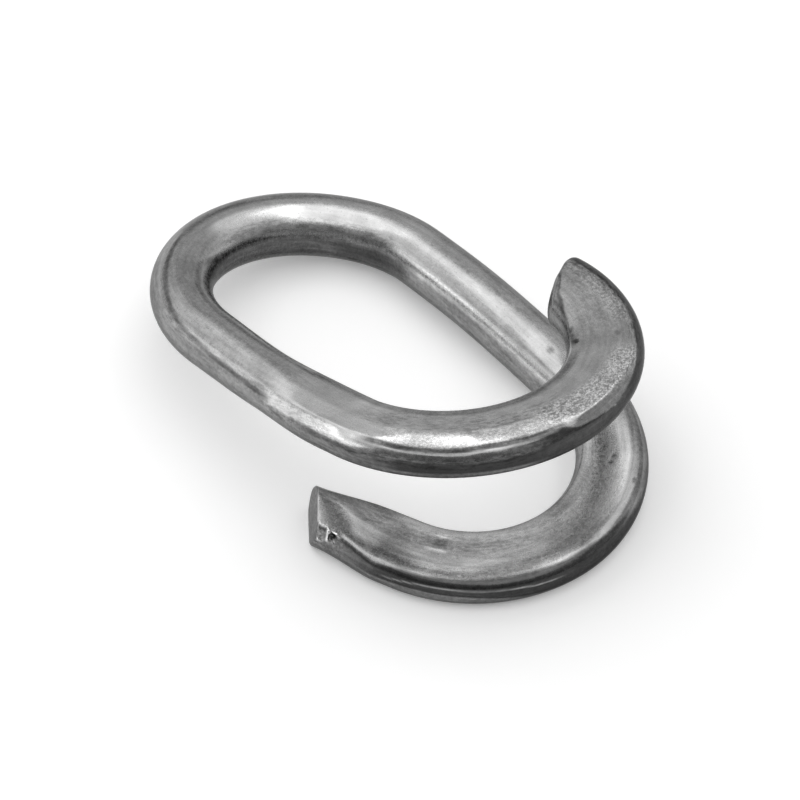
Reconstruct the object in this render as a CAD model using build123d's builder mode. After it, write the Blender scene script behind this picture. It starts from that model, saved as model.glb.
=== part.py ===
from build123d import *
import os

# Lap link for joining two chain ends: one round bar, bent one and a half turns into a long
# oval, so that its two ends lap over one another with a gap between them.  Both laps are
# pressed flat on top and underneath, and both ends are sheared off at a slant.
# The link lies on its lower lap and on its closed bow.  Millimetres, Z up, floor at z = 0.

# Bar
bar_diameter = 6.35
necked_diameter = 5.8  # upper leg, which the bend has drawn thinner

# Oval seen from above, along the centreline of the bar
bow_radius = 13.35
upper_leg_length = 21.0
lower_leg_length = 22.7
upper_lap_angle = 135.0  # turn of the bow in the upper lap
upper_end_angle = 47.0  # further turn, on a wider radius, up to the upper end
upper_end_radius = 15.0
lower_lap_angle = 158.9
tail_length = 10.0  # straight end of the lower lap

# Height of the bar's underside above the floor
upper_end_rise = 11.2
upper_end_slope = 0.27
upper_crown_rise = 16.1
upper_crown_share = 0.6  # of the way from the upper end to the root of the upper lap
upper_lap_root_rise = 13.05
upper_leg_rise = 8.8
upper_leg_root_rise = 7.0
closed_bow_rise = 2.1
touch_down_share = 0.84  # of the way round the closed bow
lower_leg_rise = 0.7

# Pressed laps
lap_width = 7.35
lap_thickness = 3.65
lap_flat_width = 5.95
flat_crown = 0.12  # how far each pressed face still bulges
upper_lap_lean = 12.4  # degrees by which the outer edge of the upper lap is raised
upper_press_length = 56.2  # from the upper end to where the bar is round again
upper_run_out = 12.2
lower_press_length = 55.4
lower_run_out = 30.4

# Sheared ends
upper_end_width = 7.1
lower_end_width = 5.8
end_thickness = 4.9
end_flat_width = 3.8
upper_taper_length = 12.0
lower_taper_length = 8.0
upper_shear_angle = 19.0
lower_shear_angle = 30.0
shear_slant = 14.0
shear_allowance = 3.5  # bar past each end, which the shear takes off
shear_window = lap_width + shear_allowance
upper_end_rounding = 1.0

station_spacing = 4.0
half_turn = 180.0


def ease(value, start, full):
    """Smooth change from 0 at start to 1 at full."""
    share = min(max((value - start) / (full - start), 0), 1)
    return share * share * (3 - 2 * share)


def mix(first, second, share):
    """Value that lies a share of the way from first to second."""
    return first + (second - first) * share


# Centreline seen from above, from the upper end clockwise down to the lower end.
with BuildLine():
    upper_bow = CenterArc((upper_leg_length, 0), bow_radius, -90, upper_lap_angle)
    upper_end_arc = JernArc(upper_bow @ 1, upper_bow % 1, upper_end_radius, upper_end_angle)
    upper_blank = Line(
        upper_end_arc @ 1 + (upper_end_arc % 1) * shear_allowance, upper_end_arc @ 1
    )
    upper_leg = Line(upper_bow @ 0, (0, -bow_radius))
    closed_bow = CenterArc((0, 0), bow_radius, -90, -180)
    lower_leg = Line(closed_bow @ 1, (lower_leg_length, bow_radius))
    lower_bow = CenterArc((lower_leg_length, 0), bow_radius, 90, -lower_lap_angle)
    tail = Line(lower_bow @ 1, lower_bow @ 1 + (lower_bow % 1) * tail_length)
    lower_blank = Line(tail @ 1, tail @ 1 + (tail % 1) * shear_allowance)
upper_edges = [upper_blank, upper_end_arc, upper_bow, upper_leg]
lower_edges = [closed_bow, lower_leg, lower_bow, tail, lower_blank]
plan = Wire(upper_edges + lower_edges)

# Distances along that line.
upper_end = upper_blank.length
upper_lap_root = upper_end + upper_end_arc.length + upper_bow.length
upper_crown = mix(upper_end, upper_lap_root, upper_crown_share)
upper_leg_middle = upper_lap_root + upper_leg.length / 2
upper_leg_root = upper_lap_root + upper_leg.length
closed_crown = upper_leg_root + closed_bow.length / 2
touch_down = upper_leg_root + closed_bow.length * touch_down_share
lower_lap_root = upper_leg_root + closed_bow.length + lower_leg.length
lower_end = lower_lap_root + lower_bow.length + tail.length

# Underside of the bar, unrolled: distance along the centreline against height.
with BuildLine() as underside:
    blank_rise = upper_end_rise - upper_end_slope * shear_allowance
    upper_blank_rise = Line((0, blank_rise), (upper_end, upper_end_rise))
    Spline(
        (upper_end, upper_end_rise),
        (upper_crown, upper_crown_rise),
        (upper_lap_root, upper_lap_root_rise),
        (upper_leg_middle, upper_leg_rise),
        (upper_leg_root, upper_leg_root_rise),
        (closed_crown, closed_bow_rise),
        (touch_down, 0),
        tangents=((1, upper_end_slope), (1, 0)),
    )
    Spline(
        (touch_down, 0),
        ((touch_down + lower_lap_root) / 2, lower_leg_rise),
        (lower_lap_root, 0),
        tangents=((1, 0), (1, 0)),
    )
    Line((lower_lap_root, 0), (lower_end, 0))
    lower_blank_rise = Line((lower_end, 0), (lower_end + shear_allowance, 0))


def section_sizes(distance):
    """Half width, half thickness and crease position of the bar at a distance along it."""
    from_upper_end = distance - upper_end
    from_lower_end = lower_end - distance
    necking = ease(distance, closed_crown, upper_leg_middle)
    radius = mix(bar_diameter, necked_diameter, necking) / 2
    upper_press = ease(from_upper_end, upper_press_length, upper_press_length - upper_run_out)
    lower_press = ease(from_lower_end, lower_press_length, lower_press_length - lower_run_out)
    press = max(upper_press, lower_press)
    upper_taper = ease(from_upper_end, upper_taper_length, 0)
    lower_taper = ease(from_lower_end, lower_taper_length, 0)
    taper = max(upper_taper, lower_taper)
    end_width = lower_end_width if lower_taper > upper_taper else upper_end_width
    diagonal = radius / 2**0.5

    def size(round_size, lap_size, end_size):
        return mix(mix(round_size, lap_size / 2, press), end_size / 2, taper)

    half_width = size(radius, lap_width, end_width)
    half_thickness = size(radius, lap_thickness, end_thickness)
    crease_x = size(diagonal, lap_flat_width, end_flat_width)
    crease_y = size(diagonal, lap_thickness - 2 * flat_crown, end_thickness - 2 * flat_crown)
    return half_width, half_thickness, crease_x, crease_y, upper_press * upper_lap_lean


def square_location(unrolled, slope, half_thickness, lean):
    """Place square to the bar, x outward from the oval and y up out of the pressed face."""
    below = plan.position_at(unrolled.X, PositionMode.LENGTH)
    along = plan.tangent_at(unrolled.X, PositionMode.LENGTH)
    centre = below + Vector(0, 0, unrolled.Y + half_thickness)
    direction = along * slope.X + Vector(0, 0, slope.Y)
    outward = Vector(0, 0, 1).cross(along)
    return Plane(centre, x_dir=outward, z_dir=direction) * Rotation(0, 0, lean)


station_count = round(underside.wire().length / station_spacing)
sections = []
for station in range(station_count + 1):
    unrolled = underside.wire() @ (station / station_count)
    slope = underside.wire() % (station / station_count)
    half_width, half_thickness, crease_x, crease_y, lean = section_sizes(unrolled.X)
    with BuildLine(square_location(unrolled, slope, half_thickness, lean)):
        outer = ThreePointArc((crease_x, -crease_y), (half_width, 0), (crease_x, crease_y))
        top = ThreePointArc((crease_x, crease_y), (0, half_thickness), (-crease_x, crease_y))
        inner = ThreePointArc((-crease_x, crease_y), (-half_width, 0), (-crease_x, -crease_y))
        bottom = ThreePointArc((-crease_x, -crease_y), (0, -half_thickness), (crease_x, -crease_y))
    sections.append(Face(Wire([outer, top, inner, bottom])))

upper_square = square_location(
    upper_blank_rise @ 1, upper_blank_rise % 1, end_thickness / 2, upper_lap_lean
)
lower_square = square_location(lower_blank_rise @ 0, lower_blank_rise % 0, end_thickness / 2, 0)

with BuildPart() as connecting_link:
    loft(sections)
    with BuildSketch(upper_square * Rotation(shear_slant, half_turn + upper_shear_angle, 0)):
        Rectangle(shear_window, shear_window)
    extrude(amount=2 * shear_allowance, mode=Mode.SUBTRACT)
    with BuildSketch(lower_square * Rotation(-shear_slant, lower_shear_angle, 0)):
        Rectangle(shear_window, shear_window)
    extrude(amount=2 * shear_allowance, mode=Mode.SUBTRACT)
    upper_face = connecting_link.faces().filter_by(GeomType.PLANE).sort_by(Axis.Z)[-1]
    fillet(upper_face.edges(), radius=upper_end_rounding)

# Origin at the middle of the link's footprint, on the floor.
box = connecting_link.part.bounding_box()
footprint_middle = Location((-box.center().X, -box.center().Y, -box.min.Z))
placed_link = connecting_link.part.moved(footprint_middle)
placed_link.label = "connecting_link"

os.makedirs("parts", exist_ok=True)
export_step(placed_link, "parts/connecting_link.step")
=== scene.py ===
import math

import bpy
import numpy as np
from mathutils import Matrix, Vector


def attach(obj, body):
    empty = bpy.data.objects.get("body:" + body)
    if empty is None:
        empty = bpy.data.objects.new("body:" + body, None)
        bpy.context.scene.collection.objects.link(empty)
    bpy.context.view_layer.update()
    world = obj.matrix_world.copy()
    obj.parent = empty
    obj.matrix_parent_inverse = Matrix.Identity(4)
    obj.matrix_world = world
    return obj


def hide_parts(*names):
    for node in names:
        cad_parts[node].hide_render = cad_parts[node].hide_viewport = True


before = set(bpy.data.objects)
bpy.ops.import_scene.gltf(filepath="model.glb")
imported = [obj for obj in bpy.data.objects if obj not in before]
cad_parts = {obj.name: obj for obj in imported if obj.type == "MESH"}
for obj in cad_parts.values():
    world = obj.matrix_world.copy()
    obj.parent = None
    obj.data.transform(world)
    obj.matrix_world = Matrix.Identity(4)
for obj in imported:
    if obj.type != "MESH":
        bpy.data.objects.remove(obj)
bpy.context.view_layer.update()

# Sizes are in millimetres until the vertices are written, as in the part's own source.
MM = 0.001

# Bar, and the oval it is bent to
BAR_DIAMETER = 6.35
NECKED_DIAMETER = 5.8
BOW_RADIUS = 13.35
UPPER_LEG = 21.0
LOWER_LEG = 22.7
UPPER_LAP_ANGLE = 135.0
UPPER_END_ANGLE = 47.0
UPPER_END_RADIUS = 15.0
LOWER_LAP_ANGLE = 158.9
TAIL = 10.0

# Height of the underside
UPPER_END_RISE = 11.2
UPPER_END_SLOPE = 0.27
UPPER_CROWN_RISE = 16.1
UPPER_LAP_ROOT_RISE = 13.05
UPPER_LEG_RISE = 8.8
UPPER_LEG_ROOT_RISE = 7.0
CLOSED_BOW_RISE = 2.1
LOWER_LEG_RISE = 0.7
UPPER_CROWN_SHARE = 0.6
TOUCH_DOWN_SHARE = 0.84

# Pressed laps and sheared ends
LAP_WIDTH = 7.35
LAP_THICKNESS = 3.65
LAP_FLAT = 5.95
FLAT_CROWN = 0.12
LAP_LEAN = 12.4
UPPER_PRESS = 56.2
UPPER_RUN_OUT = 12.2
LOWER_PRESS = 55.4
LOWER_RUN_OUT = 30.4
UPPER_END_WIDTH = 7.1
LOWER_END_WIDTH = 5.8
END_THICKNESS = 4.9
END_FLAT = 3.8
UPPER_TAPER = 12.0
LOWER_TAPER = 8.0
UPPER_SHEAR = 19.0
LOWER_SHEAR = 30.0
SLANT = 14.0
SHEAR_REACH = 12.0

# Mesh
STATIONS = 640
SECTION_POINTS = 112
END_ROWS = 12
END_REACH = 1.5
END_RINGS = 10
LEVELLED_BY = 0.35
EDGE_ANGLE = 35.0
SLOPE_STEP = 0.01

# A place on the bar is (along, around). Along is the distance down the centreline from the
# upper end. Around is the share of the way round the section: 0 is the lower outer crease,
# 0.125 the middle of the outer side and 0.625 the middle of the inner side.
OUTER_CREASE = 0.25
TOP = 0.375
INNER_CREASE = 0.5
UNDERSIDE = 0.875


def ease(value, start, full):
    """Smooth change from 0 at start to 1 at full."""
    share = np.clip((value - start) / (full - start), 0.0, 1.0)
    return share * share * (3.0 - 2.0 * share)


def mix(first, second, share):
    """Value that lies a share of the way from first to second."""
    return first + (second - first) * share


def bump_at(value, middle, half):
    """1 at the middle, falling smoothly to 0 at half to either side."""
    return ease(np.abs(value - middle), half, 0.0)


def between(value, low, high, edge):
    """1 between two values, with smooth edges of that width outside them."""
    return ease(value, low - edge, low) * ease(value, high + edge, high)


def through(table, place, column=1):
    """Value at a place, from a table whose rows start with their own place along the bar."""
    return np.interp(place, [row[0] for row in table], [row[column] for row in table])


# ---- Centreline -----------------------------------------------------------------

class Plan:
    """Line of arcs and straights seen from above, from the upper end to the lower end."""

    def __init__(self):
        self.runs = []
        self.length = 0.0

    def run(self, length, radius=0.0):
        """Straight run, or one that turns clockwise on a radius."""
        if self.runs:
            x, y, heading = self.place(np.array([self.length]))
            x, y, heading = x[0], y[0], heading[0]
        else:
            x, y, heading = 0.0, 0.0, 0.0
        self.runs.append((self.length, length, radius, x, y, heading))
        self.length += length
        return self.length

    def place(self, distance):
        """x, y and heading at distances along the line; it goes on straight past both ends."""
        x = np.zeros_like(distance)
        y = np.zeros_like(distance)
        heading = np.zeros_like(distance)
        for index, (start, length, radius, x0, y0, h0) in enumerate(self.runs):
            here = distance >= start
            if index == 0:
                here = np.ones_like(distance, bool)
            gone = distance[here] - start
            if index == 0:
                before = np.minimum(gone, 0.0)
                gone = np.maximum(gone, 0.0)
            else:
                before = np.zeros_like(gone)
            beyond = np.maximum(gone - length, 0.0)
            gone = np.minimum(gone, length)
            if radius:
                turned = h0 - gone / radius
                px = x0 + radius * (math.sin(h0) - np.sin(turned))
                py = y0 + radius * (np.cos(turned) - math.cos(h0))
            else:
                turned = np.full_like(gone, h0)
                px = x0 + gone * math.cos(h0)
                py = y0 + gone * math.sin(h0)
            px += beyond * np.cos(turned) + before * math.cos(h0)
            py += beyond * np.sin(turned) + before * math.sin(h0)
            x[here], y[here], heading[here] = px, py, turned
        return x, y, heading


plan = Plan()
plan.run(UPPER_END_RADIUS * math.radians(UPPER_END_ANGLE), UPPER_END_RADIUS)
UPPER_ROOT = plan.run(BOW_RADIUS * math.radians(UPPER_LAP_ANGLE), BOW_RADIUS)
UPPER_LEG_ROOT = plan.run(UPPER_LEG)
LOWER_LEG_ROOT = plan.run(BOW_RADIUS * math.pi, BOW_RADIUS)
LOWER_ROOT = plan.run(LOWER_LEG)
plan.run(BOW_RADIUS * math.radians(LOWER_LAP_ANGLE), BOW_RADIUS)
LENGTH = plan.run(TAIL)

CROWN = UPPER_ROOT * UPPER_CROWN_SHARE
LEG_MIDDLE = UPPER_ROOT + UPPER_LEG / 2
CLOSED_CROWN = (UPPER_LEG_ROOT + LOWER_LEG_ROOT) / 2
TOUCH_DOWN = mix(UPPER_LEG_ROOT, LOWER_LEG_ROOT, TOUCH_DOWN_SHARE)


def smooth_curve(points, first_slope, last_slope):
    """Smooth curve through (distance, height) points, with its slopes at both ends."""
    x = np.array([point[0] for point in points])
    y = np.array([point[1] for point in points])
    step = np.diff(x)
    rise = np.diff(y) / step
    count = len(x)
    matrix = np.eye(count)
    wanted = np.zeros(count)
    wanted[0], wanted[-1] = first_slope, last_slope
    for i in range(1, count - 1):
        matrix[i, i - 1] = 1 / step[i - 1]
        matrix[i, i] = 2 / step[i - 1] + 2 / step[i]
        matrix[i, i + 1] = 1 / step[i]
        wanted[i] = 3 * (rise[i - 1] / step[i - 1] + rise[i] / step[i])
    slope = np.linalg.solve(matrix, wanted)

    def height(distance):
        i = np.clip(np.searchsorted(x, distance) - 1, 0, count - 2)
        t = np.clip((distance - x[i]) / step[i], 0.0, 1.0)
        inside = (
            y[i] * (1 + 2 * t) * (1 - t) ** 2
            + slope[i] * step[i] * t * (1 - t) ** 2
            + y[i + 1] * t * t * (3 - 2 * t)
            - slope[i + 1] * step[i] * t * t * (1 - t)
        )
        before = np.minimum(distance - x[0], 0.0) * first_slope
        beyond = np.maximum(distance - x[-1], 0.0) * last_slope
        return inside + before + beyond

    return height


upper_rise = smooth_curve(
    [
        (0.0, UPPER_END_RISE),
        (CROWN, UPPER_CROWN_RISE),
        (UPPER_ROOT, UPPER_LAP_ROOT_RISE),
        (LEG_MIDDLE, UPPER_LEG_RISE),
        (UPPER_LEG_ROOT, UPPER_LEG_ROOT_RISE),
        (CLOSED_CROWN, CLOSED_BOW_RISE),
        (TOUCH_DOWN, 0.0),
    ],
    UPPER_END_SLOPE,
    0.0,
)
lower_rise = smooth_curve(
    [(TOUCH_DOWN, 0.0), ((TOUCH_DOWN + LOWER_ROOT) / 2, LOWER_LEG_RISE), (LOWER_ROOT, 0.0)],
    0.0,
    0.0,
)


def underside(distance):
    """Height of the bar's underside over the floor, at distances along it."""
    return np.where(distance < TOUCH_DOWN, upper_rise(distance), lower_rise(distance))


# ---- Section --------------------------------------------------------------------

def section_sizes(distance):
    """Half width, half thickness, x and y of the upper outer crease, and lean of the bar."""
    from_lower_end = LENGTH - distance
    necking = ease(distance, CLOSED_CROWN, LEG_MIDDLE)
    radius = mix(BAR_DIAMETER, NECKED_DIAMETER, necking) / 2
    upper_press = ease(distance, UPPER_PRESS, UPPER_PRESS - UPPER_RUN_OUT)
    lower_press = ease(from_lower_end, LOWER_PRESS, LOWER_PRESS - LOWER_RUN_OUT)
    press = np.maximum(upper_press, lower_press)
    upper_taper = ease(distance, UPPER_TAPER, 0.0)
    lower_taper = ease(from_lower_end, LOWER_TAPER, 0.0)
    taper = np.maximum(upper_taper, lower_taper)
    end_width = np.where(lower_taper > upper_taper, LOWER_END_WIDTH, UPPER_END_WIDTH)
    diagonal = radius / math.sqrt(2)

    def size(round_size, lap_size, end_size):
        return mix(mix(round_size, lap_size / 2, press), end_size / 2, taper)

    half_width = size(radius, LAP_WIDTH, end_width)
    half_thickness = size(radius, LAP_THICKNESS, END_THICKNESS)
    crease_x = size(diagonal, LAP_FLAT, END_FLAT)
    crease_y = size(diagonal, LAP_THICKNESS - 2 * FLAT_CROWN, END_THICKNESS - 2 * FLAT_CROWN)
    return half_width, half_thickness, crease_x, crease_y, np.radians(upper_press * LAP_LEAN)


def arc_through(start, middle, end, share):
    """Points at shares along the arc through three points, each (x, y) arrays down the bar."""
    ax, ay = start
    bx, by = middle
    cx, cy = end
    d = 2 * (ax * (by - cy) + bx * (cy - ay) + cx * (ay - by))
    aa, bb, cc = ax * ax + ay * ay, bx * bx + by * by, cx * cx + cy * cy
    ux = (aa * (by - cy) + bb * (cy - ay) + cc * (ay - by)) / d
    uy = (aa * (cx - bx) + bb * (ax - cx) + cc * (bx - ax)) / d
    radius = np.hypot(ax - ux, ay - uy)
    first = np.arctan2(ay - uy, ax - ux)
    turn = np.mod(np.arctan2(cy - uy, cx - ux) - first, 2 * math.pi)
    angle = first + turn * share
    return ux + radius * np.cos(angle), uy + radius * np.sin(angle)


def section_points(half_width, half_thickness, crease_x, crease_y):
    """x and y of the points round every section, from the lower outer crease up and over."""
    width = half_width[:, None]
    thick = half_thickness[:, None]
    cx = crease_x[:, None]
    cy = crease_y[:, None]
    zero = np.zeros_like(width)
    quarter = SECTION_POINTS // 4
    share = (np.arange(quarter) / quarter)[None, :]
    arcs = [
        arc_through((cx, -cy), (width, zero), (cx, cy), share),
        arc_through((cx, cy), (zero, thick), (-cx, cy), share),
        arc_through((-cx, cy), (-width, zero), (-cx, -cy), share),
        arc_through((-cx, -cy), (zero, -thick), (cx, -cy), share),
    ]
    x = np.concatenate([arc[0] for arc in arcs], axis=1)
    y = np.concatenate([arc[1] for arc in arcs], axis=1)
    return x, y


body_rows = np.linspace(END_REACH, LENGTH - END_REACH, STATIONS - 2 * END_ROWS)
end_rows = np.linspace(0.0, END_REACH, END_ROWS + 1)[:-1]
distance = np.concatenate([end_rows, body_rows, LENGTH - end_rows[::-1]])
half_width, half_thickness, crease_x, crease_y, lean = section_sizes(distance)
section_x, section_y = section_points(half_width, half_thickness, crease_x, crease_y)

# Along and around, at every point of the surface
columns = np.arange(SECTION_POINTS) / SECTION_POINTS
bar_along = np.broadcast_to(distance[:, None], section_x.shape)
bar_around = np.broadcast_to(columns[None, :], section_x.shape)

# ---- What the tools left --------------------------------------------------------

# Flats along the upper outer crease: place along the bar, and the two places round it
# between which the section runs straight. They cut corners off, and add nothing.
FLATS = (
    (12.0, 0.25, 0.25),
    (14.8, 0.217, 0.25),
    (17.3, 0.182, 0.25),
    (19.5, 0.155, 0.25),
    (23.0, 0.185, 0.25),
    (24.6, 0.235, 0.28),
    (25.4, 0.228, 0.32),
    (27.4, 0.232, 0.325),
    (28.8, 0.24, 0.285),
    (31.0, 0.23, 0.29),
    (31.8, 0.21, 0.325),
    (33.0, 0.208, 0.335),
    (36.4, 0.212, 0.335),
    (38.0, 0.22, 0.3),
    (39.2, 0.2, 0.26),
    (41.2, 0.165, 0.256),
    (44.1, 0.162, 0.245),
    (46.8, 0.182, 0.24),
    (51.0, 0.2, 0.23),
    (56.0, 0.25, 0.25),
    (146.0, 0.25, 0.25),
    (153.0, 0.228, 0.295),
    (158.0, 0.226, 0.32),
    (163.0, 0.238, 0.33),
    (166.6, 0.248, 0.345),
    (169.7, 0.246, 0.37),
    (172.5, 0.232, 0.39),
    (174.6, 0.219, 0.43),
    (176.4, 0.212, 0.45),
)
# Stands in for the width where there is no flat, so that nothing is divided by 0.
LEAST_WIDTH = 1e-6


def at_place(values, around):
    """Value of each row at its own place round the bar."""
    found = [np.interp(around[i, 0], columns, values[i]) for i in range(STATIONS)]
    return np.array(found)[:, None]


flat_low = through(FLATS, distance, 1)[:, None]
flat_high = through(FLATS, distance, 2)[:, None]
on_flat = (bar_around > flat_low) & (bar_around < flat_high)
flat_width = np.maximum(flat_high - flat_low, LEAST_WIDTH)
part_way = np.clip((bar_around - flat_low) / flat_width, 0, 1)
straight_x = mix(at_place(section_x, flat_low), at_place(section_x, flat_high), part_way)
straight_y = mix(at_place(section_y, flat_low), at_place(section_y, flat_high), part_way)
section_x = np.where(on_flat, straight_x, section_x)
section_y = np.where(on_flat, straight_y, section_y)

# The crease of the upper lap is a little uneven from the hammering.
HAMMER_SEED = 7
HAMMER_STEP = 1.1
HAMMER_DEPTH = 0.22
HAMMER_INWARD = 0.5
HAMMER_DOWN = 0.8
HAMMERED = (24.0, 40.0)
HAMMERED_EDGE = 4.0
HAMMERED_LOW, HAMMERED_HIGH = 0.19, 0.36
random = np.random.default_rng(HAMMER_SEED)
wander_places = np.arange(0.0, LENGTH + HAMMER_STEP, HAMMER_STEP)
wander = np.interp(distance, wander_places, random.uniform(0, 1, len(wander_places)))
hammered = (HAMMER_DEPTH * wander * between(distance, *HAMMERED, HAMMERED_EDGE))[:, None]
at_crease = ease(bar_around, HAMMERED_HIGH, OUTER_CREASE)
at_crease = at_crease * ease(bar_around, HAMMERED_LOW, OUTER_CREASE)
section_x = section_x - HAMMER_INWARD * hammered * at_crease
section_y = section_y - HAMMER_DOWN * hammered * at_crease


def soften(values, strength):
    """Rounds the creases: each point moves towards the middle of its neighbours."""
    middle = (np.roll(values, 1, axis=1) + np.roll(values, -1, axis=1)) / 2
    return mix(values, middle, strength)


# The first rounds soften every crease. The rest widen the shoulder of the lower lap.
SOFT_ROUNDS = 24
ROUNDS_EVERYWHERE = 2
SOFT_STRENGTH = 0.5
SHOULDER = (148.0, 168.0)
SHOULDER_EDGE = 8.0
SHOULDER_MIDDLE = 0.27
SHOULDER_HALF_WIDTH = 0.1
wide_shoulder = between(bar_along, *SHOULDER, SHOULDER_EDGE)
wide_shoulder = wide_shoulder * bump_at(bar_around, SHOULDER_MIDDLE, SHOULDER_HALF_WIDTH)
for soft_round in range(SOFT_ROUNDS):
    where = 1.0 if soft_round < ROUNDS_EVERYWHERE else wide_shoulder
    section_x = soften(section_x, SOFT_STRENGTH * where)
    section_y = soften(section_y, SOFT_STRENGTH * where)

# The lower end is drawn in at its inner upper corner.
DRAWN_REACH = 7.0
DRAWN_ACROSS = 0.55
DRAWN_DOWN = 0.15
DRAWN_HALF_WIDTH = 0.17
drawn_in = ease(LENGTH - bar_along, DRAWN_REACH, 0.0)
drawn_in = drawn_in * bump_at(bar_around, INNER_CREASE, DRAWN_HALF_WIDTH)
section_x = section_x + DRAWN_ACROSS * drawn_in
section_y = section_y - DRAWN_DOWN * drawn_in


def rolled(from_end, radius):
    """How far the surface has rolled inward at a distance from the end face."""
    left = np.clip(radius - from_end, 0.0, radius)
    return radius - np.sqrt(np.maximum(radius * radius - left * left, 0.0))


def pulled_in(x, y, by):
    """Section points moved towards the middle of the bar."""
    kept = 1 - by / np.hypot(x, y)
    return x * kept, y * kept


# Upper end rolled over all round, most at its inner corner; lower end only just blunted.
UPPER_ROLL = 1.0
CORNER_ROLL = 1.5
CORNER_MIDDLE = 0.57
CORNER_HALF_WIDTH = 0.2
LOWER_ROLL = 0.16
at_corner = bump_at(bar_around, CORNER_MIDDLE, CORNER_HALF_WIDTH)
upper_roll = UPPER_ROLL + CORNER_ROLL * at_corner
roll = rolled(bar_along, upper_roll) + rolled(LENGTH - bar_along, LOWER_ROLL)
section_x, section_y = pulled_in(section_x, section_y, roll)

# Distance round the outline, in which the widths of dents are given
girth_step = np.hypot(
    np.diff(section_x, axis=1, append=section_x[:, :1]),
    np.diff(section_y, axis=1, append=section_y[:, :1]),
)
girth = np.cumsum(girth_step, axis=1)

# Where a dent's edge begins and where its floor does, in half lengths and half widths
DENT_EDGE = (1.3, 0.6)
SQUARE_END_EDGE = (1.3, 0.8)
SQUARE_SIDE_EDGE = (1.4, 0.7)


def from_place(along, around):
    """Distance round the outline from a place on the bar, at every point of the surface."""
    row = np.argmin(np.abs(distance - along))
    return np.abs(girth - np.interp(around, columns, girth[row]))


def dent(along, around, half_long, half_wide):
    """1 on the floor of a round dent and 0 outside it."""
    lengthwise = (bar_along - along) / half_long
    return ease(np.hypot(lengthwise, from_place(along, around) / half_wide), *DENT_EDGE)


def square_dent(along, around, half_long, half_wide):
    """Like a dent, but with straight sides."""
    start, floor_start = SQUARE_END_EDGE
    lengthwise = ease(np.abs(bar_along - along), half_long * start, half_long * floor_start)
    start, floor_start = SQUARE_SIDE_EDGE
    across = ease(from_place(along, around), half_wide * start, half_wide * floor_start)
    return lengthwise * across


# Pits: place along the bar, place round it, half length, half width, share of the full depth.
PITS = (
    (126.3, 0.408, 0.42, 0.42, 0.6),
    (11.4, 0.31, 0.35, 0.35, 0.5),
    (11.7, 0.479, 0.5, 0.3, 1.0),
    (9.0, 0.5, 0.6, 0.25, 0.6),
    (140.6, 0.372, 0.24, 0.24, 1.0),
    (141.4, 0.381, 0.2, 0.22, 1.0),
    (142.6, 0.262, 0.2, 0.2, 0.9),
)
PIT_DEPTH = 0.06
pits = np.zeros_like(bar_along)
for along, around, half_long, half_wide, amount in PITS:
    pits = pits + amount * dent(along, around, half_long, half_wide)

# Press dent on the lower lap, with a raised lip on its outer side
PRESS_SPOT_DEPTH = 0.07
PRESS_LIP_HEIGHT = 0.05
press_spot = square_dent(163.4, 0.43, 0.7, 0.55)
press_lip = square_dent(163.6, 0.385, 0.8, 0.14)

# Torn spot at the outer corner of the lower end: a hole between raised lips
TORN_DEPTH = 0.4
TORN_LIP_HEIGHT = 0.12
torn_hole = dent(174.6, 0.185, 0.42, 0.42)
torn_lips = square_dent(175.2, 0.185, 0.13, 0.6) + square_dent(174.4, 0.217, 0.7, 0.12)
torn_lips = np.minimum(torn_lips + square_dent(175.9, 0.14, 0.3, 0.12), 1.0)

dents = PIT_DEPTH * pits + PRESS_SPOT_DEPTH * press_spot - PRESS_LIP_HEIGHT * press_lip
dents = dents + TORN_DEPTH * torn_hole * (1 - torn_lips) - TORN_LIP_HEIGHT * torn_lips
section_x, section_y = pulled_in(section_x, section_y, dents)

# ---- Surface --------------------------------------------------------------------

# Both ends are sheared at a slant, so each line down the bar is a little longer or shorter.
slant = math.tan(math.radians(SLANT))
upper_cut = section_x * -math.tan(math.radians(UPPER_SHEAR)) + section_y * slant
lower_cut = section_x * -math.tan(math.radians(LOWER_SHEAR)) - section_y * slant
near_upper = ease(distance, SHEAR_REACH, 0.0)[:, None]
near_lower = ease(LENGTH - distance, SHEAR_REACH, 0.0)[:, None]
cut_distance = distance[:, None] + near_upper * upper_cut + near_lower * lower_cut


def place_points(distance, x, y, lift, lean):
    """Places of section points, with x outward and y up out of the pressed face."""
    px, py, heading = plan.place(distance)
    climb = underside(distance + SLOPE_STEP) - underside(distance - SLOPE_STEP)
    slope = climb / (2 * SLOPE_STEP)
    along = np.stack([np.cos(heading), np.sin(heading), slope], axis=-1)
    along /= np.linalg.norm(along, axis=-1, keepdims=True)
    outward = np.stack([-np.sin(heading), np.cos(heading), np.zeros_like(heading)], axis=-1)
    upward = np.cross(along, outward)
    turned_out = outward * np.cos(lean)[..., None] + upward * np.sin(lean)[..., None]
    turned_up = upward * np.cos(lean)[..., None] - outward * np.sin(lean)[..., None]
    centre = np.stack([px, py, underside(distance) + lift], axis=-1)
    return centre + turned_out * x[..., None] + turned_up * y[..., None]


point_lift = np.broadcast_to(half_thickness[:, None], section_x.shape)
point_lean = np.broadcast_to(lean[:, None], section_x.shape)
surface = place_points(cut_distance, section_x, section_y, point_lift, point_lean)

# The plan is turned and moved so that the closed bow lies round the origin, and then by
# the step that takes the part's own solid to the middle of its footprint.
FRAME_SHIFT = np.array([-11.5966, 0.6065, 0.0067])
start_x, start_y, start_heading = plan.place(np.array([UPPER_LEG_ROOT]))
spin = np.array(Matrix.Rotation(math.pi - start_heading[0], 3, "Z"))
bow_start = np.array([start_x[0], start_y[0], 0.0])
placed_bow_start = np.array([0.0, -BOW_RADIUS, 0.0])
surface = (surface - bow_start) @ spin.T + placed_bow_start + FRAME_SHIFT

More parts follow.
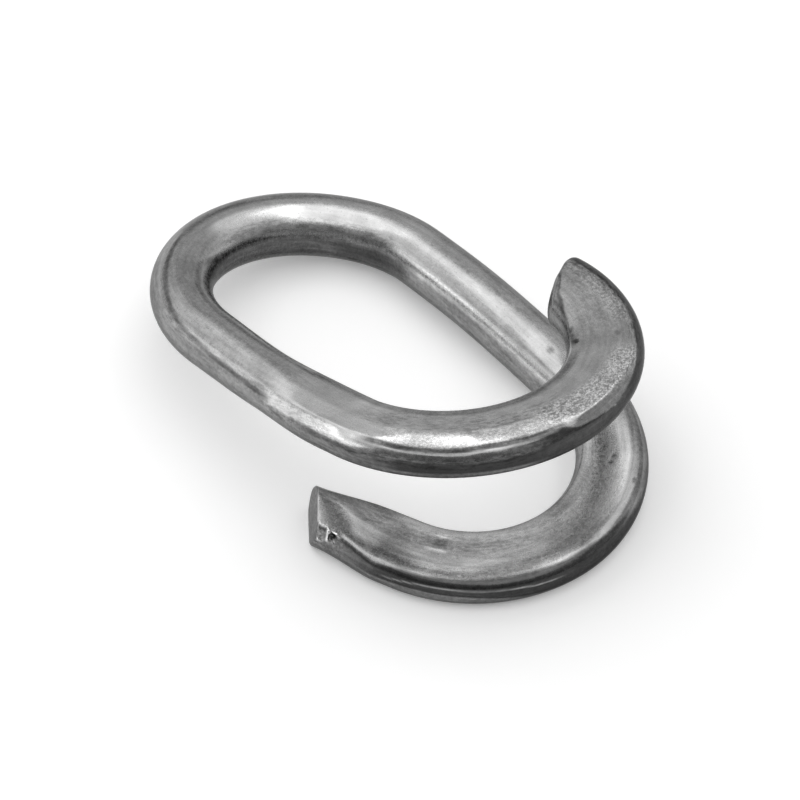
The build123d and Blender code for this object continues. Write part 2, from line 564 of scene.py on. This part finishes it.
# Elevation of the surface's own normal in degrees, which tells tops from sides
down_bar = np.gradient(surface, axis=0)
round_bar = (np.roll(surface, -1, axis=1) - np.roll(surface, 1, axis=1)) / 2
normal = np.cross(round_bar, down_bar)
normal /= np.linalg.norm(normal, axis=2, keepdims=True)
elevation = np.degrees(np.arcsin(np.clip(normal[:, :, 2], -1, 1)))

# ---- Painted light and shade on the zinc ----------------------------------------

# Shade is light and shade painted into the zinc's colour: 1 where the zinc shows bright, 0 where it
# shows dark, and more than 1 for a painted highlight. Tops are painted bright and sides darker, by
# an amount that changes along the bar, and the underside lighter, for the surroundings mirrored in
# the zinc.
OUTER_SHADES = (
    (0, 0.26), (12, 0.2), (19, 0.12), (23, 0.0), (37, 0.0), (40, 0.22), (44, 0.34), (48, 0.54),
    (54, 0.48), (75, 0.45), (132, 0.43), (143, 0.1), (150, 0.0), (166, 0.0), (171, 0.16),
    (176, 0.3),
)
INNER_SHADES = (
    (0, 0.32), (40, 0.32), (72, 0.36), (77, 0.22), (82, 0.16), (87, 0.12), (103, 0.14),
    (108, 0.42), (130, 0.45), (150, 0.45),
)
TOP_SHADES = (
    (0, 0.58), (8, 0.66), (14, 0.86), (44, 1.02), (49, 0.95), (54, 0.76), (64, 0.68), (72, 0.6),
    (80, 0.78), (88, 0.9), (108, 0.86), (116, 0.74), (128, 0.78), (136, 0.88), (144, 0.98),
    (152, 0.9), (160, 0.74), (164, 0.64), (168, 0.56), (172, 0.6),
)
BELLY_SHADE = 0.8

# Elevations at which a side's painted shade begins and is as dark as it gets. On the laps the
# painted shade of the outer side begins right at the crease, on the round bar lower down: along,
# begins, darkest.
OUTER_FADE = (
    (0, 60.0, 44.0),
    (12, 60.0, 44.0),
    (14, 46.0, 34.0),
    (25, 46.0, 34.0),
    (27, 44.0, 16.0),
    (44, 40.0, 14.0),
    (52, 50.0, 26.0),
    (76, 46.0, 22.0),
    (130, 40.0, 14.0),
    (150, 42.0, 22.0),
    (160, 44.0, 26.0),
    (174, 50.0, 34.0),
)
INNER_FADE = (40.0, 14.0)
BELLY_FADE = (-15.0, -45.0)

is_outer = (bar_around < TOP) | (bar_around > UNDERSIDE)
side_shade = np.where(is_outer, through(OUTER_SHADES, bar_along), through(INNER_SHADES, bar_along))
side_begins = np.where(is_outer, through(OUTER_FADE, bar_along, 1), INNER_FADE[0])
side_darkest = np.where(is_outer, through(OUTER_FADE, bar_along, 2), INNER_FADE[1])
side = ease(elevation, side_begins, side_darkest)
shade = mix(through(TOP_SHADES, bar_along), side_shade, side)
shade = mix(shade, BELLY_SHADE, ease(elevation, *BELLY_FADE))


def patch(start, stop, low, high, end_edge, side_edge):
    """1 over a stretch of the bar, between two places round it, with smooth edges."""
    return between(bar_along, start, stop, end_edge) * between(bar_around, low, high, side_edge)


LINE_END_EDGE = 2.0


def stripe(points, half_wide, edge):
    """1 along a line of places, over half_wide to either side of it."""
    ends = between(bar_along, points[0][0], points[-1][0], LINE_END_EDGE)
    away = np.abs(bar_around - through(points, bar_along))
    return ends * ease(away, half_wide + edge, half_wide)


def with_lines(shade, lines):
    """Shade with lines laid over it in turn: shade, how much, half width, edge, places."""
    for line_shade, amount, half_wide, edge, points in lines:
        shade = mix(shade, line_shade, amount * stripe(points, half_wide, edge))
    return shade


# Painted highlights and painted shade in patches: along, along, around, around, shade, how much.
PAINTED_LIGHT_PATCHES = (
    (0.0, 10.0, 0.1, 0.19, 0.1, 0.8),
    (9.0, 21.0, 0.03, 0.12, 0.0, 0.8),
    (26.5, 38.0, 0.275, 0.335, 1.35, 1.0),
    (39.0, 50.0, 0.25, 0.33, 1.35, 0.8),
    (28.0, 50.0, 0.02, 0.055, 0.25, 0.9),
    (52.0, 66.0, 0.345, 0.37, 0.5, 0.5),
    (53.0, 63.0, 0.235, 0.255, 0.4, 0.5),
    (83.0, 91.0, 0.41, 0.49, 1.8, 0.9),
    (81.0, 98.0, 0.485, 0.54, 1.15, 0.6),
    (133.0, 149.0, 0.46, 0.54, 0.45, 0.8),
    (135.0, 150.0, 0.25, 0.285, 0.42, 0.85),
    (133.0, 139.0, 0.325, 0.355, 0.5, 0.6),
    (157.0, 165.0, 0.325, 0.355, 0.55, 0.5),
    (171.0, 178.0, 0.485, 0.53, 0.2, 0.6),
    (167.5, 172.0, 0.32, 0.4, 0.38, 0.75),
    (174.0, 178.0, 0.25, 0.42, 1.2, 0.8),
)
WASH_END_EDGE = 3.0
WASH_SIDE_EDGE = 0.025
for start, stop, low, high, wash, amount in PAINTED_LIGHT_PATCHES:
    washed = patch(start, stop, low, high, WASH_END_EDGE, WASH_SIDE_EDGE)
    shade = mix(shade, wash, amount * washed)

# Painted shade in a dark line along the crease of the upper lap
CREASE_LINE = ((22, 0.225), (26, 0.235), (30, 0.246), (33, 0.232), (36.5, 0.23), (39, 0.24))
# Painted shade in dark lines along both edges of the painted light band on the upper leg and the
# closed bow
OUTER_LINE = (
    (50, 0.185), (56, 0.2), (61.5, 0.215), (64, 0.23), (68, 0.258), (70.5, 0.288), (75.2, 0.31),
    (79.6, 0.32), (86, 0.325),
)
INNER_LINE = ((50, 0.46), (62, 0.44), (70, 0.455), (75, 0.49), (78, 0.54))
# Painted shade on the outer rim, from the closed bow to the lower lap
FAR_RIM = ((80, 0.32), (90, 0.325), (98, 0.3), (108, 0.275), (132, 0.265))
EDGE_LINES = (
    (0.0, 0.85, 0.012, 0.014, CREASE_LINE),
    (0.0, 0.6, 0.007, 0.014, OUTER_LINE),
    (0.35, 0.8, 0.015, 0.045, FAR_RIM),
    (0.0, 0.5, 0.008, 0.02, INNER_LINE),
)
shade = with_lines(shade, EDGE_LINES)

# Painted highlight on the flat below the crease
FLAT_HIGHLIGHT_SHADE = 1.2
flat_highlight = patch(42.0, 51.5, 0.168, 0.245, end_edge=2.5, side_edge=0.012)
shade = mix(shade, FLAT_HIGHLIGHT_SHADE, flat_highlight)

BAR_LINES = (
    # Painted shade below the flat's painted highlight; grey side under the crease, with its dark
    # edge
    (0.0, 0.5, 0.008, 0.014, ((33, 0.19), (37, 0.175), (41, 0.14), (46, 0.13))),
    (0.4, 0.8, 0.015, 0.014, ((25, 0.195), (31, 0.185), (38, 0.18))),
    (0.15, 0.5, 0.004, 0.01, ((28, 0.212), (40, 0.205))),
    # Painted shade on the inside of the closed bow, and on the inner edge of the upper lap
    (0.0, 0.3, 0.01, 0.02, ((88, 0.525), (104, 0.515))),
    (0.0, 0.6, 0.02, 0.04, ((98, 0.61), (107, 0.6))),
    (0.0, 0.5, 0.012, 0.02, ((15, 0.485), (50, 0.478))),
    # Painted highlight strip and a painted dark line on the inside of the lower leg
    (1.3, 0.85, 0.018, 0.025, ((110, 0.535), (116, 0.527), (128, 0.52))),
    (0.0, 0.3, 0.004, 0.01, ((100, 0.53), (113, 0.505), (131, 0.48))),
    # Painted highlight along the lower lap's inner edge
    (1.15, 0.8, 0.015, 0.02, ((152, 0.455), (167, 0.475))),
)
shade = with_lines(shade, BAR_LINES)

# Painted shade: the bevel is mid grey and the side below it dark, with a clear edge between them.
BEVEL_SHADE, BEVEL_COVER = 0.62, 0.9
UNDER_BEVEL_SHADE, UNDER_BEVEL_COVER = 0.06, 0.85
on_bevel = patch(13.0, 24.5, flat_low + 0.006, 0.246, end_edge=1.5, side_edge=0.004)
shade = mix(shade, BEVEL_SHADE, BEVEL_COVER * on_bevel)
under_bevel = ease(bar_along, 28.0, 25.0) * ease(bar_around, flat_low - 0.002, flat_low - 0.012)
under_bevel = under_bevel * ease(bar_around, 0.0, 0.04)
shade = mix(shade, UNDER_BEVEL_SHADE, UNDER_BEVEL_COVER * under_bevel)

# Painted shade darkens the upper end's rolled side, up to a clear dark edge against the top face.
END_EDGE = (
    (0, 0.36), (0.9, 0.39), (2.1, 0.485), (5.3, 0.524), (7.9, 0.521), (10.6, 0.497), (12, 0.49),
)
END_SIDE_SHADE, END_SIDE_COVER = 0.4, 0.9
END_LINE_COVER = 0.7
END_SIDE_STOP = 0.85
END_SIDE_REACH = (14.0, 10.5)
end_edge = through(END_EDGE, bar_along)
at_upper_end = ease(bar_along, *END_SIDE_REACH)
end_side = ease(bar_around, end_edge, end_edge + 0.015) * (bar_around < END_SIDE_STOP)
shade = mix(shade, END_SIDE_SHADE, END_SIDE_COVER * end_side * at_upper_end)
end_line = ease(np.abs(bar_around - end_edge), 0.02, 0.006)
shade = mix(shade, 0.0, END_LINE_COVER * end_line * at_upper_end)

# Painted shade on the lower lap's side: a mid grey facet below, and a dark band from there up to
# the crease.
FACET_EDGE = (
    (150, 0.06), (154, 0.08), (157, 0.1), (160, 0.13), (164, 0.138), (168, 0.125),
    (176.4, 0.12),
)
DARK_TOP = (
    (132, 0.21), (144, 0.225), (150, 0.255), (154, 0.262), (157, 0.256), (161, 0.254),
    (164, 0.252), (167, 0.234), (169.4, 0.21), (172, 0.16),
)
FACET_SHADE, FACET_COVER = 0.36, 0.85
FACET_START = (152.0, 158.0)
DARK_BAND_SHADE, DARK_BAND_COVER = 0.03, 0.9
DARK_BAND = (147.0, 166.5)
DARK_BAND_EDGE = 4.0
facet_edge = through(FACET_EDGE, bar_along)
facet = ease(bar_around, facet_edge, facet_edge - 0.012) * ease(bar_along, *FACET_START)
shade = mix(shade, FACET_SHADE, FACET_COVER * facet)
dark_top = through(DARK_TOP, bar_along)
dark_band = ease(bar_around, dark_top + 0.006, dark_top - 0.012)
dark_band = dark_band * ease(bar_around, facet_edge, facet_edge + 0.01)
dark_band = dark_band * between(bar_along, *DARK_BAND, DARK_BAND_EDGE)
shade = mix(shade, DARK_BAND_SHADE, DARK_BAND_COVER * dark_band)

# Painted highlight on the lower lap's shoulder, and a thin one along its crease further on
SHOULDER_LIGHT = ((153, 0.279), (156, 0.284), (159, 0.281), (162, 0.277), (164, 0.272))
CREASE_LIGHT = ((161, 0.282), (166.6, 0.274), (169.7, 0.262), (172.5, 0.24), (174.6, 0.224))
LOWER_LAP_LINES = (
    (1.4, 0.9, 0.017, 0.02, SHOULDER_LIGHT),
    (1.0, 0.5, 0.001, 0.006, CREASE_LIGHT),
    # Thin painted highlights in the painted dark band
    (1.0, 0.5, 0.001, 0.006, ((154.5, 0.158), (157.3, 0.173), (160, 0.174))),
    (0.8, 0.5, 0.001, 0.006, ((162, 0.178), (164.4, 0.176), (166.5, 0.155))),
    # Painted shade at the start of the shoulder
    (0.3, 0.8, 0.025, 0.03, ((128, 0.22), (136, 0.22), (143, 0.21))),
)
shade = with_lines(shade, LOWER_LAP_LINES)

# Painted shade in the pits, the press dent and the torn hole, and painted highlights on the raised
# lips.
DEEP_PLACES = (
    (pits, 0.0, 0.8),
    (press_spot, 0.0, 0.45),
    (press_lip, 1.1, 1.0),
    (torn_hole, 0.0, 0.9),
    (torn_lips, 1.2, 1.0),
)
for covered, deep_shade, amount in DEEP_PLACES:
    shade = mix(shade, deep_shade, amount * covered)

# ---- Rough and scuffed places ---------------------------------------------------

ROUGH_SIDE_EDGE = 0.03

# Rough press marks, whose specks are also painted bright as glints: along, along, edge, around,
# around, how much.
PRESS_MARKS_AND_GLINTS = (
    (1.0, 9.0, 2.0, 0.25, 0.31, 0.5),
    (24.0, 38.0, 2.0, 0.25, 0.33, 0.4),
    (173.5, 177.0, 1.0, 0.1, 0.24, 0.5),
)
# Scuffed places, where dark streaks run along the bar, in the same columns.
SCUFFS = (
    (24.0, 31.0, 3.0, 0.335, 0.4, 0.7),
    (30.0, 41.0, 3.0, 0.35, 0.44, 0.45),
    (28.0, 52.0, 3.0, 0.12, 0.165, 0.7),
    (82.0, 104.0, 3.0, 0.485, 0.525, 0.5),
    (104.0, 131.0, 3.0, 0.55, 0.6, 0.35),
    (150.0, 176.0, 3.0, 0.4, 0.46, 0.5),
    (150.0, 165.0, 3.0, 0.25, 0.32, 0.3),
    (2.0, 11.0, 3.0, 0.2, 0.255, 0.9),
    (44.0, 80.0, 3.0, 0.18, 0.23, 0.35),
)


def strongest(rows):
    """The strongest of some patches at every point of the surface."""
    found = np.zeros_like(bar_along)
    for start, stop, end_edge, low, high, amount in rows:
        covered = patch(start, stop, low, high, end_edge, ROUGH_SIDE_EDGE)
        found = np.maximum(found, amount * covered)
    return found


# The hammer marks on the upper lap, with their painted glints, lie along a slanting line.
HAMMER_LINE = ((13, 0.26), (24, 0.32))
HAMMER_LINE_WIDTHS = (0.085, 0.03)
HAMMER_MARKS_AND_GLINTS = (14.5, 24.5)
HAMMER_MARKS_AND_GLINTS_EDGE = 2.0
from_line = np.abs(bar_around - through(HAMMER_LINE, bar_along))
hammer_marks_and_glints = between(bar_along, *HAMMER_MARKS_AND_GLINTS, HAMMER_MARKS_AND_GLINTS_EDGE)
hammer_marks_and_glints = hammer_marks_and_glints * ease(from_line, *HAMMER_LINE_WIDTHS)
marks_and_glints = np.maximum(hammer_marks_and_glints, strongest(PRESS_MARKS_AND_GLINTS))
scuffs = strongest(SCUFFS)

# ---- Mesh -----------------------------------------------------------------------

def end_rings(outline):
    """Rings over an end face, from its outline in to its flat middle, and that middle."""
    middle = outline.mean(axis=0)
    flat = outline
    if outline.ndim == 2:
        face_normal = np.linalg.svd(outline - middle)[2][-1]
        flat = outline - np.outer((outline - middle) @ face_normal, face_normal)
    rings = []
    for ring in range(1, END_RINGS):
        inward = ring / END_RINGS
        levelled = mix(outline, flat, ease(inward, 0.0, LEVELLED_BY))
        rings.append(mix(levelled, middle, inward))
    return rings, middle


upper_rings, upper_middle = end_rings(surface[0])
lower_rings, lower_middle = end_rings(surface[-1])
rows = upper_rings[::-1] + list(surface) + lower_rings
faces = []
for i in range(len(rows) - 1):
    row, after = i * SECTION_POINTS, (i + 1) * SECTION_POINTS
    for j in range(SECTION_POINTS):
        k = (j + 1) % SECTION_POINTS
        faces.append((row + j, row + k, after + k, after + j))
vertices = [tuple(point) for point in np.concatenate(rows) * MM]
first_middle = len(vertices)
vertices.append(tuple(upper_middle * MM))
vertices.append(tuple(lower_middle * MM))
last_row = (len(rows) - 1) * SECTION_POINTS
for j in range(SECTION_POINTS):
    k = (j + 1) % SECTION_POINTS
    faces.append((k, j, first_middle))
    faces.append((last_row + j, last_row + k, first_middle + 1))

mesh = bpy.data.meshes.new("link_surface")
mesh.from_pydata(vertices, [], faces)
mesh.update()
link = bpy.data.objects.new("link_surface", mesh)
bpy.context.scene.collection.objects.link(link)
mesh.shade_smooth()
mesh.set_sharp_from_angle(angle=math.radians(EDGE_ANGLE))


def on_every_row(values, end_values=None):
    """Values of the surface's points, carried on over both end faces or set there."""
    first = values[0] if end_values is None else np.full_like(values[0], end_values[0])
    last = values[-1] if end_values is None else np.full_like(values[-1], end_values[1])
    first_rings, first_middle_value = end_rings(first)
    last_rings, last_middle_value = end_rings(last)
    stacked = np.stack(first_rings[::-1] + list(values) + last_rings)
    flat = stacked.reshape(-1, *values.shape[2:])
    whole = np.concatenate([flat, np.stack([first_middle_value, last_middle_value])])
    return whole.astype(np.float32).ravel()


# Where each point lies on the straightened bar, for streaks that follow the bends
straight = np.stack([cut_distance, section_x, section_y], axis=2)
attribute = mesh.attributes.new("straight", "FLOAT_VECTOR", "POINT")
attribute.data.foreach_set("vector", on_every_row(straight))

# Painted values, with those of the upper and the lower end face. The shade on every face is painted
# light and shade, and the marks also carry painted glints.
PAINTED = (
    ("shade", shade, (0.3, 0.45)),
    ("marks_and_glints", marks_and_glints, (0.3, 0.3)),
    ("scuffs", scuffs, (0.3, 0.6)),
)
for name, values, end_values in PAINTED:
    attribute = mesh.attributes.new(name, "FLOAT", "POINT")
    attribute.data.foreach_set("value", on_every_row(values, end_values))


class Nodes:
    """Makes nodes in one tree. An input is a plain value, or the output it is linked to."""

    def __init__(self, tree):
        self.tree = tree

    def feed(self, fed, inputs):
        """Fills in a node's inputs, by name or number."""
        for name, value in inputs.items():
            if isinstance(value, bpy.types.NodeSocket):
                self.tree.links.new(value, fed.inputs[name])
            else:
                fed.inputs[name].default_value = value

    def add(self, kind, inputs, **settings):
        """New node, with its settings and its inputs."""
        made = self.tree.nodes.new(kind)
        for name, value in settings.items():
            setattr(made, name, value)
        self.feed(made, inputs)
        return made

    def maths(self, operation, *values):
        """Result of a sum on one number or more."""
        inputs = dict(enumerate(values))
        return self.add("ShaderNodeMath", inputs, operation=operation).outputs[0]

    def painted(self, name, output="Fac"):
        """Value that the mesh carries under a name."""
        return self.add("ShaderNodeAttribute", {}, attribute_name=name).outputs[output]

    def stretched(self, place, share):
        """Place with its distance along the bar shortened to a share."""
        inputs = {0: place, 1: (share, 1.0, 1.0)}
        return self.add("ShaderNodeVectorMath", inputs, operation="MULTIPLY").outputs[0]

    def noise(self, place, scale, detail, rough):
        """Noise over a place, from 0 to 1."""
        inputs = {"Vector": place, "Scale": scale, "Detail": detail, "Roughness": rough}
        return self.add("ShaderNodeTexNoise", inputs).outputs["Fac"]

    def ramp(self, value, over, to):
        """Smooth change from one value to another, while the input crosses a range."""
        inputs = {"Value": value, 1: over[0], 2: over[1], 3: to[0], 4: to[1]}
        made = self.add("ShaderNodeMapRange", inputs, interpolation_type="SMOOTHSTEP")
        return made.outputs[0]

    def where(self, amount, factor):
        """The factor where the amount is 1, and no change where it is 0."""
        return self.maths("MULTIPLY_ADD", amount, self.maths("SUBTRACT", factor, 1.0), 1.0)


# ---- Zinc-plated steel ----------------------------------------------------------

# Streaks are noise drawn out along the bar.
STREAK_STRETCH = 0.1
SCUFF_STRETCH = 0.3
NOISE_MIDDLE = 0.5
# Most of a noise lies in this range.
NOISE_RANGE = (0.3, 0.7)
STREAK_MOTTLING = 0.8
EDGE_MOTTLING = 2.2
LEAST_MOTTLING = 0.05
MOST_SHADE = 1.7
# Tone of the base colour where the painted shade is 0 and where it is 1
DARK, BRIGHT = 0.042, 0.56
# Factors on the tone, and the ranges of noise over which they change
CLOUD_TONES = (0.9, 1.1)
STREAK_TONES = (0.94, 1.05)
SPECK_RANGE, SPECK_TONES = (0.27, 0.35), (0.7, 1.0)
# On the marks, specks up to twice as bright are painted glints; the darker specks and the bump are
# the marks.
PRESS_RANGE, PRESS_TONES = (0.42, 0.62), (0.75, 2.0)
SCUFF_RANGE, SCUFF_TONES = (0.4, 0.56), (0.4, 1.1)
GRAIN_ROUGHNESS = (0.2, 0.3)
STREAK_ROUGHNESS = (-0.02, 0.04)
RIM_TINT = 0.5
# Shares of the noises in the bump, and the depth of its texture in metres
STREAK_BUMP = 0.3
GRAIN_BUMP = 0.4
FINE_STREAK_BUMP = 0.12
PRESS_BUMP = 1.5
BUMP_STRENGTH = 0.3
BUMP_HEIGHT = 0.00006

steel = bpy.data.materials.new("zinc_steel")
steel.use_nodes = True
zinc = Nodes(steel.node_tree)

place = zinc.painted("straight", "Vector")
streak_place = zinc.stretched(place, STREAK_STRETCH)
scuff_place = zinc.stretched(place, SCUFF_STRETCH)
painted_shade = zinc.painted("shade")
painted_marks_and_glints = zinc.painted("marks_and_glints")
painted_scuffs = zinc.painted("scuffs")

cloud = zinc.noise(place, scale=0.45, detail=4.0, rough=0.55)
grain = zinc.noise(place, scale=2.6, detail=5.0, rough=0.65)
streaks = zinc.noise(streak_place, scale=2.2, detail=5.0, rough=0.6)
fine_streaks = zinc.noise(streak_place, scale=9.0, detail=3.0, rough=0.6)
speck = zinc.noise(place, scale=4.5, detail=2.0, rough=0.5)
press = zinc.noise(place, scale=4.2, detail=3.0, rough=0.8)
scuff = zinc.noise(scuff_place, scale=3.2, detail=5.0, rough=0.8)

# Mottling eats into the edge of the painted shade on the sides.
mottle = zinc.maths("MULTIPLY", zinc.maths("SUBTRACT", streaks, NOISE_MIDDLE), STREAK_MOTTLING)
mottle = zinc.maths("ADD", zinc.maths("SUBTRACT", grain, NOISE_MIDDLE), mottle)
in_between = zinc.maths("MULTIPLY", painted_shade, zinc.maths("SUBTRACT", 1.0, painted_shade))
in_between = zinc.maths("MAXIMUM", in_between, 0.0)
mottling = zinc.maths("MULTIPLY_ADD", in_between, EDGE_MOTTLING, LEAST_MOTTLING)
mottled_shade = zinc.maths("MULTIPLY_ADD", mottle, mottling, painted_shade)
mottled_shade = zinc.maths("MAXIMUM", mottled_shade, 0.0)
mottled_shade = zinc.maths("MINIMUM", mottled_shade, MOST_SHADE)

tone = zinc.maths("MULTIPLY_ADD", mottled_shade, BRIGHT - DARK, DARK)
tone_factors = (
    zinc.ramp(cloud, NOISE_RANGE, CLOUD_TONES),
    zinc.ramp(streaks, NOISE_RANGE, STREAK_TONES),
    zinc.ramp(speck, SPECK_RANGE, SPECK_TONES),
    zinc.where(painted_marks_and_glints, zinc.ramp(press, PRESS_RANGE, PRESS_TONES)),
    zinc.where(painted_scuffs, zinc.ramp(scuff, SCUFF_RANGE, SCUFF_TONES)),
)
for factor in tone_factors:
    tone = zinc.maths("MULTIPLY", tone, factor)
colour = zinc.add("ShaderNodeCombineColor", {0: tone, 1: tone, 2: tone}).outputs[0]

grain_roughness = zinc.ramp(grain, NOISE_RANGE, GRAIN_ROUGHNESS)
streak_roughness = zinc.ramp(fine_streaks, NOISE_RANGE, STREAK_ROUGHNESS)
roughness = zinc.maths("ADD", grain_roughness, streak_roughness)

height = zinc.maths("MULTIPLY_ADD", streaks, STREAK_BUMP, zinc.maths("MULTIPLY", grain, GRAIN_BUMP))
height = zinc.maths("MULTIPLY_ADD", fine_streaks, FINE_STREAK_BUMP, height)
press_height = zinc.maths("MULTIPLY", painted_marks_and_glints, zinc.maths("MULTIPLY", press, PRESS_BUMP))
height = zinc.maths("ADD", height, press_height)
bump_inputs = {"Height": height, "Strength": BUMP_STRENGTH, "Distance": BUMP_HEIGHT}
bump = zinc.add("ShaderNodeBump", bump_inputs)

# Dull plating: the tint keeps the rims, seen at a low angle, as dark as the painted shade on the
# rest of the sides.
zinc.feed(
    steel.node_tree.nodes["Principled BSDF"],
    {
        "Base Color": colour,
        "Metallic": 1.0,
        "Specular Tint": (RIM_TINT, RIM_TINT, RIM_TINT, 1.0),
        "Roughness": roughness,
        "Normal": bump.outputs[0],
    },
)
mesh.materials.append(steel)

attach(link, "root")
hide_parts("connecting_link")

# ---- Floor ----------------------------------------------------------------------

# The floor, the lamps and the camera are placed in metres.
FLOOR = 1.5
WHITE = (1.0, 1.0, 1.0, 1.0)
PAPER_WHITE = 0.95
PAPER_ROUGHNESS = 0.95
PAPER_GLOW = 0.17

floor_mesh = bpy.data.meshes.new("floor")
floor_corners = [(-FLOOR, -FLOOR, 0), (FLOOR, -FLOOR, 0), (FLOOR, FLOOR, 0), (-FLOOR, FLOOR, 0)]
floor_mesh.from_pydata(floor_corners, [], [(0, 1, 2, 3)])
floor = bpy.data.objects.new("floor", floor_mesh)
bpy.context.scene.collection.objects.link(floor)

# Seen directly, mirrored or through glass, the paper is a little whiter than its lit colour.
paper = bpy.data.materials.new("paper")
paper.use_nodes = True
sheet = Nodes(paper.node_tree)
ray = sheet.add("ShaderNodeLightPath", {}).outputs
seen = sheet.maths("MAXIMUM", ray["Is Camera Ray"], ray["Is Glossy Ray"])
seen = sheet.maths("MAXIMUM", seen, ray["Is Transmission Ray"])
sheet.feed(
    paper.node_tree.nodes["Principled BSDF"],
    {
        "Base Color": (PAPER_WHITE, PAPER_WHITE, PAPER_WHITE, 1.0),
        "Roughness": PAPER_ROUGHNESS,
        "Specular IOR Level": 0.0,
        "Emission Color": WHITE,
        "Emission Strength": sheet.maths("MULTIPLY", seen, PAPER_GLOW),
    },
)
floor_mesh.materials.append(paper)

# ---- Light ----------------------------------------------------------------------

# The sky is brighter towards the back of the view.
TOWARD_BACK = (-0.7, 0.6, 0.4)
FADE_FROM, FADE_TO = -0.8, 0.7
FRONT_LIGHT, BACK_LIGHT = 0.24, 0.54

world = bpy.data.worlds.new("studio")
bpy.context.scene.world = world
world.use_nodes = True
sky = Nodes(world.node_tree)
direction = sky.add("ShaderNodeTexCoord", {}).outputs["Generated"]
dot_inputs = {0: direction, 1: TOWARD_BACK}
toward_back = sky.add("ShaderNodeVectorMath", dot_inputs, operation="DOT_PRODUCT")
fade_inputs = {
    "Value": toward_back.outputs["Value"],
    "From Min": FADE_FROM,
    "From Max": FADE_TO,
    "To Min": FRONT_LIGHT,
    "To Max": BACK_LIGHT,
}
fade = sky.add("ShaderNodeMapRange", fade_inputs)
sky.feed(
    world.node_tree.nodes["Background"],
    {"Color": WHITE, "Strength": fade.outputs[0]},
)

# Where the photo was taken from: the camera's bearing and height, in radians
AZIMUTH = math.radians(49.07)
ELEVATION = math.radians(47.2)


def soft_box(name, bearing, height, away, size, brightness):
    """Rectangular lamp aimed at the link; bearing is counted from the camera, to its right."""
    turn = AZIMUTH - math.pi / 2 + math.radians(bearing)
    tilt = math.radians(height)
    level = math.cos(tilt)
    toward = Vector((math.cos(turn) * level, math.sin(turn) * level, math.sin(tilt)))
    lamp_data = bpy.data.lights.new(name, "AREA")
    lamp_data.shape = "RECTANGLE"
    lamp_data.size, lamp_data.size_y = size
    lamp_data.energy = brightness * math.pi * size[0] * size[1]
    lamp = bpy.data.objects.new(name, lamp_data)
    lamp.location = toward * away
    lamp.rotation_euler = (-toward).to_track_quat("-Z", "Y").to_euler()
    bpy.context.scene.collection.objects.link(lamp)


soft_box("overhead", bearing=90.0, height=89.0, away=0.6, size=(0.84, 0.84), brightness=1.08)
soft_box("left_box", bearing=-115.0, height=40.0, away=0.7, size=(0.9, 0.65), brightness=0.46)
soft_box("left_low", bearing=-88.0, height=12.0, away=0.6, size=(0.34, 0.2), brightness=1.5)

# ---- Camera ---------------------------------------------------------------------

CAMERA_RANGE = 0.381
LENS, SENSOR = 175.42, 36.0
# The aim is counted from the middle of the closed bow.
AIM_FROM_BOW = np.array([0.01086, 0.00111, 0.0])

aim = Vector(AIM_FROM_BOW + FRAME_SHIFT * MM)
level = math.cos(ELEVATION)
back = Vector((math.sin(AZIMUTH) * level, -math.cos(AZIMUTH) * level, math.sin(ELEVATION)))
right = Vector((math.cos(AZIMUTH), math.sin(AZIMUTH), 0.0))
up = back.cross(right)
facing = Matrix((right, up, back)).transposed().to_4x4()
camera_data = bpy.data.cameras.new("camera")
camera_data.sensor_width = SENSOR
camera_data.lens = LENS
camera = bpy.data.objects.new("camera", camera_data)
camera.matrix_world = Matrix.Translation(aim + back * CAMERA_RANGE) @ facing
bpy.context.scene.collection.objects.link(camera)
bpy.context.scene.camera = camera

bpy.context.scene.view_settings.view_transform = "Standard"
